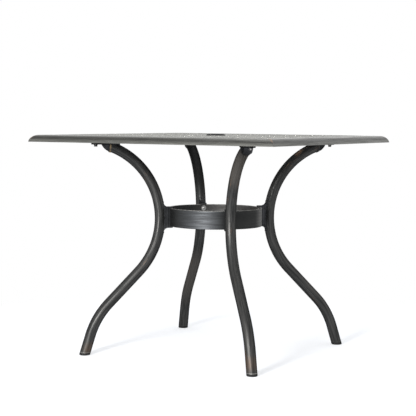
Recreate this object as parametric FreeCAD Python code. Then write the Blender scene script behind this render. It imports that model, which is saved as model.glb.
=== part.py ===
import FreeCAD, Part
import math
import os

# Square patio dining table: a cast lattice top in a mitred rim, an umbrella hole,
# four S-bent tube legs and a ring stretcher. Millimetres, +Z up, the origin on the
# floor under the middle of the table.

# Overall sizes
TABLE_HEIGHT = 749.0          # floor to the top surface
TOP_SIDE = 915.0              # one side of the square top

# Rim rail, one mitred length per side
RIM_DEPTH = 23.0              # top surface down to the lower lip
RIM_ROUND = 26.0              # how far the rounded edge runs in from the lip
RIM_LIP = 2.0                 # upright part of the lip below the rounded edge
RIM_WALL = 3.5
RIM_FLANGE = 34.0             # flat top of the rail, from the rounded edge inwards
LEDGE_WIDTH = 9.0             # ledge that carries the panel
LEDGE_THICKNESS = 3.0

# Cast lattice panel
PANEL_GAP = 0.3               # panel edge to the rim flange
PANEL_THICKNESS = 6.0
PANEL_BORDER = 24.0           # plain border round the lattice
LATTICE_COUNT = 9             # diamonds across the panel
LATTICE_BAR = 9.0             # width of a lattice bar
SMALLEST_OPENING = 0.3        # share of a diamond under which no opening is cast
HUB_RADIUS = 68.0             # solid disc round the umbrella hole
HUB_SLOT_COUNT = 8
HUB_SLOT_INNER = 46.0
HUB_SLOT_OUTER = 58.0
HUB_SLOT_ANGLE = 30.0
COLLAR_WALL = 5.0             # collar under the hub, round the umbrella sleeve
RIB_WIDTH = 4.0
RIB_DEPTH = 11.0              # ribs under the lattice

# Leg pads cast under the panel
PAD_DEPTH = 27.0              # top surface down to the pad's lower face
PAD_PLATE = 6.0
PAD_MARGIN = 5.0              # pad beyond the leg's top plate, all round
PAD_WEB = 5.0
PAD_WEB_INSET = 4.0           # pad edge to the outside of its web
BOSS_RADIUS = 8.0             # screw boss between the pad and the panel

# Umbrella grommet
UMBRELLA_BORE = 51.0
GROMMET_WALL = 3.5
GROMMET_GAP = 0.3             # sleeve to the hole in the panel
GROMMET_FLANGE = 33.0         # radius of the flange on the table top
GROMMET_RISE = 5.0            # flange height over the top surface
GROMMET_EDGE = 1.5            # upright edge of the flange, under its crown
GROMMET_BOW = 0.9             # how far the crown bows out between its edges
GROMMET_SLEEVE = 24.0         # sleeve below the top surface

# Ring stretcher
RING_RADIUS = 163.0           # outside of the ring
RING_WALL = 4.0
RING_HEIGHT = 63.0
RING_CHAMFER = 1.2
RING_RISE = 3.5               # middle of the ring over the tubes' waist

# Leg tube, bent on one die in the diagonal plane of the table
TUBE_DIAMETER = 36.0
TUBE_WALL = 2.0
BEND_RADIUS = 262.0           # centreline radius of every bend
SPLAY_ANGLE = 44.0            # lean of the long straight run, from upright
FOOT_ANGLE = 17.0             # lean of the foot, from upright
FOOT_TAIL = 70.5              # straight run above the floor
LEG_TOP_RADIUS = 373.0        # table centre to the upright cut at the leg's top
TUBE_END_DROP = 5.5           # plate underside down to the tube's centre at that cut

# Top plate and end gusset, welded to the leg
PLATE_WIDTH = 30.0            # its outer end is a half circle
PLATE_THICKNESS = 5.0
PLATE_TAIL = 62.0             # plate beyond the tube's end, towards the table corner
PLATE_NOSE = 0.0              # plate beyond the tube's top edge, towards the centre
PLATE_CORNER = 4.0            # corners at the inner end
GUSSET_REACH = 25.0           # gusset beyond the tube's end
GUSSET_WALL = 3.0
GUSSET_WIDTH = 30.0
GUSSET_RECESS = 2.5           # cheek set in from the edge of its curved band
GUSSET_BOW = 3.0              # bulge of the curved band
CUFF_GRIP = 3.0               # cuff of the gusset over the tube's end
CUFF_WALL = 1.8               # cuff proud of the tube

# Saddle casting between each leg and the ring
SADDLE_DEPTH = 15.5           # ring to tube at the waist
SADDLE_WIDTH = 20.0
SADDLE_LIP = 5.0              # lip over the ring's edge
SADDLE_LIP_REACH = 10.0
SADDLE_FLAT = 9.0             # flat top of the saddle, outside the ring
SADDLE_SWEEP = 17.0           # height of the fillet that runs up the tube
SADDLE_BOW = 3.5              # hollow of that fillet
GROOVE_WIDTH = 2.0            # upright grooves on the saddle's sides
GROOVE_DEPTH = 2.0
GROOVE_INSET = 4.0            # each groove from the ring, or from the tube

# Foot glide
GLIDE_HEIGHT = 7.0
GLIDE_ROUND = 2.5
GLIDE_PLUG = 20.0             # plug inside the tube
GLIDE_GAP = 0.2               # plug to the tube's bore

# Screws and bolts
SCREW_RADIUS = 3.0            # leg plate to pad
SCREW_INSET = 15.0            # screw from the plate's outer end
SCREW_HEAD_WIDTH = 10.0
SCREW_HEAD_HEIGHT = 5.5
SCREW_LENGTH = 20.0
BOLT_RADIUS = 4.0             # ring to saddle
BOLT_SPREAD = 36.0            # between the two bolts of one saddle
BOLT_HEAD_RADIUS = 7.0
BOLT_HEAD_HEIGHT = 4.4
BOLT_HEAD_EDGE = 1.1          # upright edge of the head, under its dome
BOLT_HEAD_BOW = 0.6           # bulge of the dome between its flat and its edge
BOLT_SOCKET_WIDTH = 5.0
BOLT_SOCKET_DEPTH = 2.4
BOLT_LENGTH = 17.0
WASHER_THICKNESS = 1.6
WASHER_OVERLAP = 2.0          # washer beyond the head
HOLE_CLEARANCE = 0.4          # radial, where a screw passes freely
THREAD_CLEARANCE = 0.1        # radial, where it is screwed in
THREAD_SPARE = 2.0            # hole beyond the screw's end

LEG_NAMES = {"rear_right": 45.0, "rear_left": 135.0, "front_left": 225.0, "front_right": 315.0}
SIDE_NAMES = {"right": 0.0, "rear": 90.0, "left": 180.0, "front": 270.0}

# Sizes that follow from the ones above
TOP_HALF = TOP_SIDE / 2
FLANGE_EDGE = TOP_HALF - RIM_ROUND - RIM_FLANGE
PANEL_HALF = FLANGE_EDGE - PANEL_GAP
PANEL_UNDER = TABLE_HEIGHT - PANEL_THICKNESS
FIELD_HALF = PANEL_HALF - PANEL_BORDER
SLEEVE_RADIUS = UMBRELLA_BORE / 2 + GROMMET_WALL
HUB_HOLE = SLEEVE_RADIUS + GROMMET_GAP
PAD_UNDER = TABLE_HEIGHT - PAD_DEPTH
PLATE_UNDER = PAD_UNDER - PLATE_THICKNESS
TUBE_RADIUS = TUBE_DIAMETER / 2
TUBE_BORE = TUBE_RADIUS - TUBE_WALL
SPLAY = math.radians(SPLAY_ANGLE)
LEAN = math.radians(FOOT_ANGLE)
WAIST_RADIUS = RING_RADIUS + SADDLE_DEPTH + TUBE_RADIUS
BEND_CENTRE = WAIST_RADIUS + BEND_RADIUS
TOP_TURN = math.acos((BEND_CENTRE - LEG_TOP_RADIUS) / BEND_RADIUS)
WAIST_HEIGHT = PLATE_UNDER - TUBE_END_DROP - BEND_RADIUS * math.sin(TOP_TURN)
RUN_TOP_RADIUS = BEND_CENTRE - BEND_RADIUS * math.cos(SPLAY)
RUN_TOP_HEIGHT = WAIST_HEIGHT - BEND_RADIUS * math.sin(SPLAY)
FOOT_BEND_DROP = BEND_RADIUS * (math.sin(SPLAY) - math.sin(LEAN))
RUN_DROP = RUN_TOP_HEIGHT - FOOT_BEND_DROP - FOOT_TAIL * math.cos(LEAN)
RUN_FOOT_RADIUS = RUN_TOP_RADIUS + RUN_DROP * math.tan(SPLAY)
FOOT_BEND_REACH = BEND_RADIUS * (math.cos(LEAN) - math.cos(SPLAY))
FOOT_RADIUS = RUN_FOOT_RADIUS + FOOT_BEND_REACH + FOOT_TAIL * math.sin(LEAN)
PLATE_OUTER = LEG_TOP_RADIUS + PLATE_TAIL
TUBE_CREST = BEND_RADIUS + TUBE_RADIUS
PLATE_INNER = BEND_CENTRE - math.sqrt(TUBE_CREST**2 - (PLATE_UNDER - WAIST_HEIGHT) ** 2) - PLATE_NOSE
SCREW_PLACE = PLATE_OUTER - SCREW_INSET
RING_MIDDLE = WAIST_HEIGHT + RING_RISE
RING_BOTTOM = RING_MIDDLE - RING_HEIGHT / 2
RING_INSIDE = RING_RADIUS - RING_WALL

UP = FreeCAD.Vector(0, 0, 1)
ACROSS = FreeCAD.Vector(0, 1, 0)
ORIGIN = FreeCAD.Vector(0, 0, 0)


def turned(shape, degrees):
    """A copy of the shape, turned about the table's upright axis."""
    copy = shape.copy()
    copy.rotate(ORIGIN, UP, degrees)
    return copy


def block(x0, x1, y0, y1, z0, z1):
    """A box between two corners."""
    return Part.makeBox(x1 - x0, y1 - y0, z1 - z0, FreeCAD.Vector(x0, y0, z0))


def disc(radius, z0, z1):
    """An upright cylinder about the table's axis."""
    return Part.makeCylinder(radius, z1 - z0, FreeCAD.Vector(0, 0, z0))


def upright_rod(x, radius, z0, z1):
    """An upright cylinder on the local X axis."""
    return Part.makeCylinder(radius, z1 - z0, FreeCAD.Vector(x, 0, z0))


def level_rod(x0, x1, radius, z):
    """A cylinder along the local X axis."""
    return Part.makeCylinder(radius, x1 - x0, FreeCAD.Vector(x0, 0, z), FreeCAD.Vector(1, 0, 0))


def corner(x, z):
    """A point of an outline in the local XZ plane."""
    return FreeCAD.Vector(x, 0, z)


def line(start, end):
    return Part.LineSegment(start, end).toShape()


def arc(start, middle, end):
    return Part.Arc(start, middle, end).toShape()


def bowed(start, end, bow):
    """An arc between two points, bowed out to the right of the way from start to end."""
    way = end - start
    middle = (start + end) * 0.5 + corner(way.z, -way.x) * (bow / way.Length)
    return arc(start, middle, end)


def rounded_edge(tip, crown):
    """The rounded edge of the rim: an arc from its lip at tip, level at the flat top at crown."""
    run = tip.x - crown.x
    rise = crown.z - tip.z
    radius = (run**2 + rise**2) / (2 * rise)
    half_turn = math.asin(run / radius) / 2
    if rise > run:
        half_turn = math.pi / 2 - half_turn
    middle = corner(crown.x + radius * math.sin(half_turn), crown.z - radius * (1 - math.cos(half_turn)))
    return arc(tip, middle, crown)


def band_between(edges, y0, y1):
    """A closed outline in the XZ plane, drawn out along Y."""
    face = Part.Face(Part.Wire(Part.__sortEdges__(edges)))
    face.translate(FreeCAD.Vector(0, y0, 0))
    return face.extrude(FreeCAD.Vector(0, y1 - y0, 0))


def rim_profile():
    """Section of a rim rail: rounded outer edge, lip, flat flange and panel ledge."""
    z_top = TABLE_HEIGHT
    z_lip = TABLE_HEIGHT - RIM_DEPTH
    z_round = z_lip + RIM_LIP
    x_crown = TOP_HALF - RIM_ROUND
    z_ledge = PANEL_UNDER
    z_ledge_under = z_ledge - LEDGE_THICKNESS
    x_ledge = FLANGE_EDGE - LEDGE_WIDTH
    outer_tip = corner(TOP_HALF, z_round)
    outer_crown = corner(x_crown, z_top)
    inner_tip = corner(TOP_HALF - RIM_WALL, z_round)
    inner_crown = corner(x_crown, z_top - RIM_WALL)
    x_step = FLANGE_EDGE + LEDGE_THICKNESS
    points = [
        inner_crown,
        corner(x_step, z_top - RIM_WALL),
        corner(x_step, z_ledge_under),
        corner(x_ledge, z_ledge_under),
        corner(x_ledge, z_ledge),
        corner(FLANGE_EDGE, z_ledge),
        corner(FLANGE_EDGE, z_top),
        outer_crown,
    ]
    edges = [line(a, b) for a, b in zip(points, points[1:])]
    edges.append(rounded_edge(outer_tip, outer_crown))
    edges.append(line(outer_tip, corner(TOP_HALF, z_lip)))
    edges.append(line(corner(TOP_HALF, z_lip), corner(TOP_HALF - RIM_WALL, z_lip)))
    edges.append(line(corner(TOP_HALF - RIM_WALL, z_lip), inner_tip))
    edges.append(rounded_edge(inner_tip, inner_crown))
    return edges


def rim_rail():
    """The rail on the +X side, mitred at both ends."""
    bar = band_between(rim_profile(), -TOP_HALF, TOP_HALF)
    reach = TOP_HALF + RIM_DEPTH
    wedge = Part.makePolygon(
        [
            ORIGIN,
            FreeCAD.Vector(reach, -reach, 0),
            FreeCAD.Vector(reach, reach, 0),
            ORIGIN,
        ]
    )
    mitre = Part.Face(wedge).extrude(UP * (TABLE_HEIGHT + RIM_DEPTH))
    return bar.common(mitre)


def lattice_openings():
    """Diamond openings between the diagonal bars, clipped by the border and the hub."""
    step = 2 * FIELD_HALF / LATTICE_COUNT
    reach = step / 2 - LATTICE_BAR / math.sqrt(2)
    z0 = PANEL_UNDER - 1
    depth = PANEL_THICKNESS + 2
    full = 2 * reach**2 * depth
    field = block(-FIELD_HALF, FIELD_HALF, -FIELD_HALF, FIELD_HALF, z0, z0 + depth)
    hub = disc(HUB_RADIUS, z0 - 1, z0 + depth + 1)
    openings = []
    for i in range(2 * LATTICE_COUNT + 1):
        for j in range(2 * LATTICE_COUNT + 1):
            if (i + j) % 2:
                continue
            x = -FIELD_HALF + i * step / 2
            y = -FIELD_HALF + j * step / 2
            tips = [(x + reach, y), (x, y + reach), (x - reach, y), (x, y - reach)]
            loop = [FreeCAD.Vector(a, b, z0) for a, b in tips]
            hole = Part.Face(Part.makePolygon(loop + loop[:1])).extrude(UP * depth)
            if max(abs(x), abs(y)) + reach > FIELD_HALF:
                hole = hole.common(field)
            if math.hypot(x, y) < HUB_RADIUS + reach:
                hole = hole.cut(hub)
            openings += [solid for solid in hole.Solids if solid.Volume > SMALLEST_OPENING * full]
    return openings


def hub_slots():
    """Curved slots round the umbrella hole."""
    z0 = PANEL_UNDER - 1
    ring = disc(HUB_SLOT_OUTER, z0, TABLE_HEIGHT + 1).cut(disc(HUB_SLOT_INNER, z0, TABLE_HEIGHT + 1))
    far = 2 * HUB_SLOT_OUTER
    spread = far * math.tan(math.radians(HUB_SLOT_ANGLE / 2))
    fan = Part.makePolygon(
        [
            FreeCAD.Vector(0, 0, z0),
            FreeCAD.Vector(far, -spread, z0),
            FreeCAD.Vector(far, spread, z0),
            FreeCAD.Vector(0, 0, z0),
        ]
    )
    slot = ring.common(Part.Face(fan).extrude(UP * (PANEL_THICKNESS + 2)))
    return [turned(slot, k * 360.0 / HUB_SLOT_COUNT) for k in range(HUB_SLOT_COUNT)]


def leg_pad():
    """Pad, webs and screw boss under the panel, for the leg along +X."""
    x0 = PLATE_INNER - PAD_MARGIN
    x1 = PLATE_OUTER + PAD_MARGIN
    half = PLATE_WIDTH / 2 + PAD_MARGIN
    z_web = PAD_UNDER + PAD_PLATE
    web = half - PAD_WEB_INSET
    pad = block(x0, x1, -half, half, PAD_UNDER, z_web)
    webs = [
        block(x0 + PAD_WEB_INSET, x1 - PAD_WEB_INSET, web - PAD_WEB, web, z_web, PANEL_UNDER),
        block(x0 + PAD_WEB_INSET, x1 - PAD_WEB_INSET, -web, PAD_WEB - web, z_web, PANEL_UNDER),
    ]
    boss = upright_rod(SCREW_PLACE, BOSS_RADIUS, z_web, PANEL_UNDER)
    return pad.multiFuse(webs + [boss])


def screw_thread_hole():
    """Threaded hole up through the pad and its boss."""
    z_end = screw_top() + THREAD_SPARE
    return upright_rod(SCREW_PLACE, SCREW_RADIUS + THREAD_CLEARANCE, PAD_UNDER - 1, z_end)


def panel_rib(x0, x1, half):
    """A rib under the panel along +X, between two distances from the middle."""
    return block(x0, x1, -half, half, PANEL_UNDER - RIB_DEPTH, PANEL_UNDER)


def rib_frame():
    """Square frame of ribs under the edge of the lattice."""
    outside = FIELD_HALF + RIB_WIDTH
    z0 = PANEL_UNDER - RIB_DEPTH
    frame = block(-outside, outside, -outside, outside, z0, PANEL_UNDER)
    return frame.cut(block(-FIELD_HALF, FIELD_HALF, -FIELD_HALF, FIELD_HALF, z0 - 1, PANEL_UNDER + 1))


def top_panel():
    """Cast panel: lattice, hub and collar, ribs, and the four leg pads."""
    plate = block(-PANEL_HALF, PANEL_HALF, -PANEL_HALF, PANEL_HALF, PANEL_UNDER, TABLE_HEIGHT)
    plate = plate.cut(Part.makeCompound(lattice_openings() + hub_slots()))
    z_collar = TABLE_HEIGHT - GROMMET_SLEEVE
    added = [rib_frame(), disc(HUB_HOLE + COLLAR_WALL, z_collar, PANEL_UNDER)]
    for angle in SIDE_NAMES.values():
        added.append(turned(panel_rib(HUB_HOLE, FIELD_HALF, RIB_WIDTH / 2), angle))
    for angle in LEG_NAMES.values():
        added.append(turned(leg_pad(), angle))
        added.append(turned(panel_rib(HUB_HOLE, PLATE_INNER, RIB_WIDTH / 2), angle))
        added.append(turned(panel_rib(PLATE_OUTER, FIELD_HALF * math.sqrt(2), RIB_WIDTH / 2), angle))
    panel = plate.multiFuse(added)
    holes = [turned(screw_thread_hole(), angle) for angle in LEG_NAMES.values()]
    holes.append(disc(HUB_HOLE, z_collar - 1, TABLE_HEIGHT + 1))
    return panel.cut(Part.makeCompound(holes)).removeSplitter()


def umbrella_grommet():
    """Moulded ring in the umbrella hole, with a low crowned flange."""
    bore = UMBRELLA_BORE / 2
    z_low = TABLE_HEIGHT - GROMMET_SLEEVE
    z_edge = TABLE_HEIGHT + GROMMET_EDGE
    z_top = TABLE_HEIGHT + GROMMET_RISE
    edges = [
        line(corner(bore, z_low), corner(SLEEVE_RADIUS, z_low)),
        line(corner(SLEEVE_RADIUS, z_low), corner(SLEEVE_RADIUS, TABLE_HEIGHT)),
        line(corner(SLEEVE_RADIUS, TABLE_HEIGHT), corner(GROMMET_FLANGE, TABLE_HEIGHT)),
        line(corner(GROMMET_FLANGE, TABLE_HEIGHT), corner(GROMMET_FLANGE, z_edge)),
        bowed(corner(GROMMET_FLANGE, z_edge), corner(bore, z_top), GROMMET_BOW),
        line(corner(bore, z_top), corner(bore, z_low)),
    ]
    face = Part.Face(Part.Wire(Part.__sortEdges__(edges)))
    return face.revolve(ORIGIN, UP, 360)


def stretcher_ring():
    """Rolled band that ties the four legs, with bolt holes at each saddle."""
    c = RING_CHAMFER
    z0 = RING_BOTTOM
    z1 = RING_BOTTOM + RING_HEIGHT
    points = [
        corner(RING_INSIDE, z0 + c),
        corner(RING_INSIDE + c, z0),
        corner(RING_RADIUS - c, z0),
        corner(RING_RADIUS, z0 + c),
        corner(RING_RADIUS, z1 - c),
        corner(RING_RADIUS - c, z1),
        corner(RING_INSIDE + c, z1),
        corner(RING_INSIDE, z1 - c),
    ]
    ring = Part.Face(Part.makePolygon(points + points[:1])).revolve(ORIGIN, UP, 360)
    holes = []
    for angle in LEG_NAMES.values():
        for z in bolt_heights():
            x0 = RING_INSIDE - RING_WALL
            hole = level_rod(x0, RING_RADIUS + RING_WALL, BOLT_RADIUS + HOLE_CLEARANCE, z)
            holes.append(turned(hole, angle))
    return ring.cut(Part.makeCompound(holes))


def bolt_heights():
    return [RING_MIDDLE - BOLT_SPREAD / 2, RING_MIDDLE + BOLT_SPREAD / 2]


def section(x, z, lean, outer, inner):
    """Round section across the leg's centreline, solid when inner is zero."""
    direction = FreeCAD.Vector(math.sin(math.radians(lean)), 0, -math.cos(math.radians(lean)))
    rings = [Part.Wire(Part.makeCircle(outer, corner(x, z), direction))]
    face = Part.Face(rings[0])
    if inner:
        face = face.cut(Part.Face(Part.Wire(Part.makeCircle(inner, corner(x, z), direction))))
    return face


def leg_bar(outer, inner=0.0):
    """The bent bar of one leg along +X, before its ends are trimmed."""
    rise = FreeCAD.Vector(math.sin(TOP_TURN), 0, math.cos(TOP_TURN))
    x_top = BEND_CENTRE - BEND_RADIUS * math.cos(TOP_TURN)
    z_top = WAIST_HEIGHT + BEND_RADIUS * math.sin(TOP_TURN)
    top_end = section(x_top, z_top, -math.degrees(TOP_TURN), outer, inner)
    stub = top_end.extrude(rise * TUBE_DIAMETER)
    centre = corner(BEND_CENTRE, WAIST_HEIGHT)
    waist = top_end.revolve(centre, -ACROSS, math.degrees(TOP_TURN) + SPLAY_ANGLE)

    straight = section(RUN_TOP_RADIUS, RUN_TOP_HEIGHT, SPLAY_ANGLE, outer, inner)
    straight = straight.extrude(corner(RUN_DROP * math.tan(SPLAY), -RUN_DROP))

    z_foot = RUN_TOP_HEIGHT - RUN_DROP
    x_centre = RUN_FOOT_RADIUS - BEND_RADIUS * math.cos(SPLAY)
    centre = corner(x_centre, z_foot - BEND_RADIUS * math.sin(SPLAY))
    bend = section(RUN_FOOT_RADIUS, z_foot, SPLAY_ANGLE, outer, inner)
    bend = bend.revolve(centre, ACROSS, SPLAY_ANGLE - FOOT_ANGLE)

    tail = section(RUN_FOOT_RADIUS + FOOT_BEND_REACH, z_foot - FOOT_BEND_DROP, FOOT_ANGLE, outer, inner)
    tail = tail.extrude(corner(math.sin(LEAN), -math.cos(LEAN)) * (FOOT_TAIL + TUBE_DIAMETER))
    return stub.multiFuse([waist, straight, bend, tail]).removeSplitter()


def leg_tube():
    """One leg: coped under its plate, cut upright at the end, level above the glide."""
    tube = leg_bar(TUBE_RADIUS, TUBE_BORE)
    far = 2 * TOP_SIDE
    above = block(0, far, -TUBE_DIAMETER, TUBE_DIAMETER, PLATE_UNDER, PLATE_UNDER + far)
    beyond = block(LEG_TOP_RADIUS, far, -TUBE_DIAMETER, TUBE_DIAMETER, WAIST_HEIGHT, PLATE_UNDER + far)
    below = block(0, far, -TUBE_DIAMETER, TUBE_DIAMETER, -far, GLIDE_HEIGHT)
    return tube.cut(Part.makeCompound([beyond, below])).cut(above)


def leg_plate():
    """Plate on top of the leg, round at its outer end, screwed up against the pad."""
    half = PLATE_WIDTH / 2
    tip = PLATE_OUTER - half
    plate = block(PLATE_INNER, tip, -half, half, PLATE_UNDER, PAD_UNDER)
    inner = [edge for edge in plate.Edges if edge.BoundBox.XMax < PLATE_INNER + 1]
    uprights = [edge for edge in inner if edge.BoundBox.YLength < 1]
    plate = plate.makeFillet(min(PLATE_CORNER, half - 1), uprights)
    plate = plate.fuse(upright_rod(tip, half, PLATE_UNDER, PAD_UNDER)).removeSplitter()
    hole = SCREW_RADIUS + HOLE_CLEARANCE
    return plate.cut(upright_rod(SCREW_PLACE, hole, PLATE_UNDER - 1, PAD_UNDER + 1))


def gusset_outline(inset):
    """Side outline of the gusset, from the tube's lower edge out to the plate."""
    root = corner(LEG_TOP_RADIUS, PLATE_UNDER)
    start = corner(LEG_TOP_RADIUS, tube_end_bottom() + inset)
    end = corner(LEG_TOP_RADIUS + GUSSET_REACH - inset, PLATE_UNDER)
    return [line(root, start), bowed(start, end, GUSSET_BOW), line(end, root)]


def tube_end_bottom():
    """Height of the tube's underside at its upright cut."""
    under = BEND_RADIUS - TUBE_RADIUS
    return WAIST_HEIGHT + math.sqrt(under**2 - (BEND_CENTRE - LEG_TOP_RADIUS) ** 2)


def round_bottomed(shape, inset):
    """The part of a shape beyond the tube's end that keeps the tube's round underside."""
    x0 = LEG_TOP_RADIUS - 1
    x1 = LEG_TOP_RADIUS + 2 * GUSSET_REACH
    z_axis = PLATE_UNDER - TUBE_END_DROP
    radius = z_axis - tube_end_bottom() - inset
    upper = block(x0, x1, -radius, radius, z_axis, PLATE_UNDER + 1)
    return shape.common(level_rod(x0, x1, radius, z_axis).fuse(upper))


def gusset_cuff(bar):
    """Cuff of the gusset: it wraps the tube's end and closes it."""
    side = TUBE_DIAMETER
    x0 = LEG_TOP_RADIUS - CUFF_GRIP
    x1 = LEG_TOP_RADIUS + GUSSET_WALL
    cuff = leg_bar(TUBE_RADIUS + CUFF_WALL)
    cuff = cuff.common(block(x0, x1, -side, side, WAIST_HEIGHT, PLATE_UNDER))
    return cuff.cut(bar.common(block(0, LEG_TOP_RADIUS, -side, side, WAIST_HEIGHT, PLATE_UNDER)))


def end_gusset(bar):
    """Cast cup that closes the tube's end and props the plate: cuff, band and two cheeks."""
    half = GUSSET_WIDTH / 2
    cheek = half - GUSSET_RECESS
    cup = round_bottomed(band_between(gusset_outline(0.0), -half, half), 0.0)
    side = band_between(gusset_outline(GUSSET_WALL), cheek, half + 1)
    other = band_between(gusset_outline(GUSSET_WALL), -half - 1, -cheek)
    hollow = band_between(gusset_outline(GUSSET_WALL), GUSSET_WALL - cheek, cheek - GUSSET_WALL)
    hollow = round_bottomed(hollow, GUSSET_WALL)
    cup = cup.cut(Part.makeCompound([side, other, hollow]))
    return cup.fuse(gusset_cuff(bar)).removeSplitter()


def saddle_outline():
    """Side outline of a saddle: lips over the ring, fillets that run up the tube."""
    x_lip = RING_RADIUS - SADDLE_LIP_REACH
    x_flat = RING_RADIUS + SADDLE_FLAT
    x_back = WAIST_RADIUS + TUBE_WALL
    x_fillet = WAIST_RADIUS - TUBE_RADIUS / 2
    edges = []
    for way in (-1, 1):
        z_flat = RING_MIDDLE + way * (RING_HEIGHT / 2 + SADDLE_LIP)
        z_tip = z_flat + way * SADDLE_SWEEP
        edges.append(line(corner(x_lip, RING_MIDDLE), corner(x_lip, z_flat)))
        edges.append(line(corner(x_lip, z_flat), corner(x_flat, z_flat)))
        edges.append(bowed(corner(x_flat, z_flat), corner(x_fillet, z_tip), way * SADDLE_BOW))
        edges.append(line(corner(x_fillet, z_tip), corner(x_back, z_tip)))
        edges.append(line(corner(x_back, z_tip), corner(x_back, RING_MIDDLE)))
    return edges


def ring_saddle(bar):
    """Casting between the ring and a tube, seated on both."""
    half = SADDLE_WIDTH / 2
    tall = RING_HEIGHT + 4 * SADDLE_SWEEP
    body = band_between(saddle_outline(), -half, half)
    z0 = RING_MIDDLE - tall / 2
    cuts = [bar, disc(RING_RADIUS - SADDLE_LIP_REACH + 1, z0, z0 + tall)]
    cuts.append(disc(RING_RADIUS, RING_BOTTOM, RING_BOTTOM + RING_HEIGHT))
    tube_face = WAIST_RADIUS - TUBE_RADIUS
    for x in (RING_RADIUS + GROOVE_INSET, tube_face - GROOVE_INSET / 2):
        for side in (-1, 1):
            edge = side * half
            inner = side * (half - GROOVE_DEPTH)
            cuts.append(block(x, x + GROOVE_WIDTH, min(edge, inner), max(edge, inner), z0, z0 + tall))
    for z in bolt_heights():
        tip = bolt_tip() + THREAD_SPARE
        cuts.append(level_rod(RING_INSIDE, tip, BOLT_RADIUS + THREAD_CLEARANCE, z))
    for cutter in cuts:
        body = body.cut(cutter)
    return body


def foot_glide():
    """Moulded foot: a round-edged pad under the tube and a plug up its bore."""
    axis = corner(-math.sin(LEAN), math.cos(LEAN))
    start = corner(FOOT_RADIUS, 0) - axis * TUBE_DIAMETER
    reach = 2 * TUBE_DIAMETER + GLIDE_HEIGHT + GLIDE_PLUG
    far = TOP_SIDE
    slab = block(0, far, -TUBE_DIAMETER, TUBE_DIAMETER, 0, GLIDE_HEIGHT)
    pad = Part.makeCylinder(TUBE_RADIUS, reach, start, axis).common(slab)
    rim = [edge for edge in pad.Edges if edge.BoundBox.ZMax < GLIDE_HEIGHT / 10]
    pad = pad.makeFillet(min(GLIDE_ROUND, GLIDE_HEIGHT / 2), rim)
    core = block(0, far, -TUBE_DIAMETER, TUBE_DIAMETER, GLIDE_HEIGHT, GLIDE_HEIGHT + GLIDE_PLUG)
    plug = Part.makeCylinder(TUBE_BORE - GLIDE_GAP, reach, start, axis).common(core)
    return pad.fuse(plug).removeSplitter()


def hexagon(width, x, z0, z1):
    """An upright hexagonal bar, given its width across the flats."""
    points = []
    for k in range(6):
        angle = math.radians(60 * k)
        radius = width / math.sqrt(3)
        points.append(FreeCAD.Vector(x + radius * math.cos(angle), radius * math.sin(angle), z0))
    return Part.Face(Part.makePolygon(points + points[:1])).extrude(UP * (z1 - z0))


def screw_seat():
    """Underside of the washer under the leg plate."""
    return PLATE_UNDER - WASHER_THICKNESS


def screw_top():
    return screw_seat() + SCREW_LENGTH


def top_screw():
    """Hexagon-head screw, driven up through the leg plate into the pad."""
    seat = screw_seat()
    head = hexagon(SCREW_HEAD_WIDTH, SCREW_PLACE, seat - SCREW_HEAD_HEIGHT, seat)
    return head.fuse(upright_rod(SCREW_PLACE, SCREW_RADIUS, seat, screw_top()))


def top_washer():
    """Washer between the screw's head and the leg plate."""
    outer = SCREW_HEAD_WIDTH / 2 + WASHER_OVERLAP
    washer = upright_rod(SCREW_PLACE, outer, screw_seat(), PLATE_UNDER)
    hole = SCREW_RADIUS + HOLE_CLEARANCE
    return washer.cut(upright_rod(SCREW_PLACE, hole, screw_seat() - 1, PLATE_UNDER + 1))


def bolt_seat():
    """Where a ring bolt's head bears, on its washer inside the ring."""
    return washer_seat() - WASHER_THICKNESS


def washer_seat():
    """The flat washer touches the curved inside of the ring along its two sides."""
    reach = BOLT_HEAD_RADIUS + WASHER_OVERLAP
    return math.sqrt(RING_INSIDE**2 - reach**2)


def bolt_tip():
    return bolt_seat() + BOLT_LENGTH


def ring_bolt(z):
    """Round-head bolt with a hexagon socket, from inside the ring into a saddle."""
    seat = bolt_seat()
    crown = seat - BOLT_HEAD_HEIGHT
    edge = corner(seat - BOLT_HEAD_EDGE, z + BOLT_HEAD_RADIUS)
    flat = corner(crown, z + BOLT_HEAD_RADIUS / 2)
    edges = [
        line(corner(crown, z), flat),
        bowed(flat, edge, -BOLT_HEAD_BOW),
        line(edge, corner(seat, z + BOLT_HEAD_RADIUS)),
        line(corner(seat, z + BOLT_HEAD_RADIUS), corner(seat, z)),
        line(corner(seat, z), corner(crown, z)),
    ]
    head = Part.Face(Part.Wire(Part.__sortEdges__(edges)))
    head = head.revolve(corner(seat, z), FreeCAD.Vector(1, 0, 0), 360)
    socket = hexagon(BOLT_SOCKET_WIDTH, 0, 0, BOLT_SOCKET_DEPTH)
    socket.rotate(ORIGIN, ACROSS, 90)
    socket.translate(corner(crown, z))
    return head.fuse(level_rod(seat, bolt_tip(), BOLT_RADIUS, z)).cut(socket)


def ring_washer(z):
    """Flat washer under a ring bolt's head."""
    washer = level_rod(bolt_seat(), washer_seat(), BOLT_HEAD_RADIUS + WASHER_OVERLAP, z)
    return washer.cut(level_rod(bolt_seat() - 1, washer_seat() + 1, BOLT_RADIUS + HOLE_CLEARANCE, z))


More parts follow.
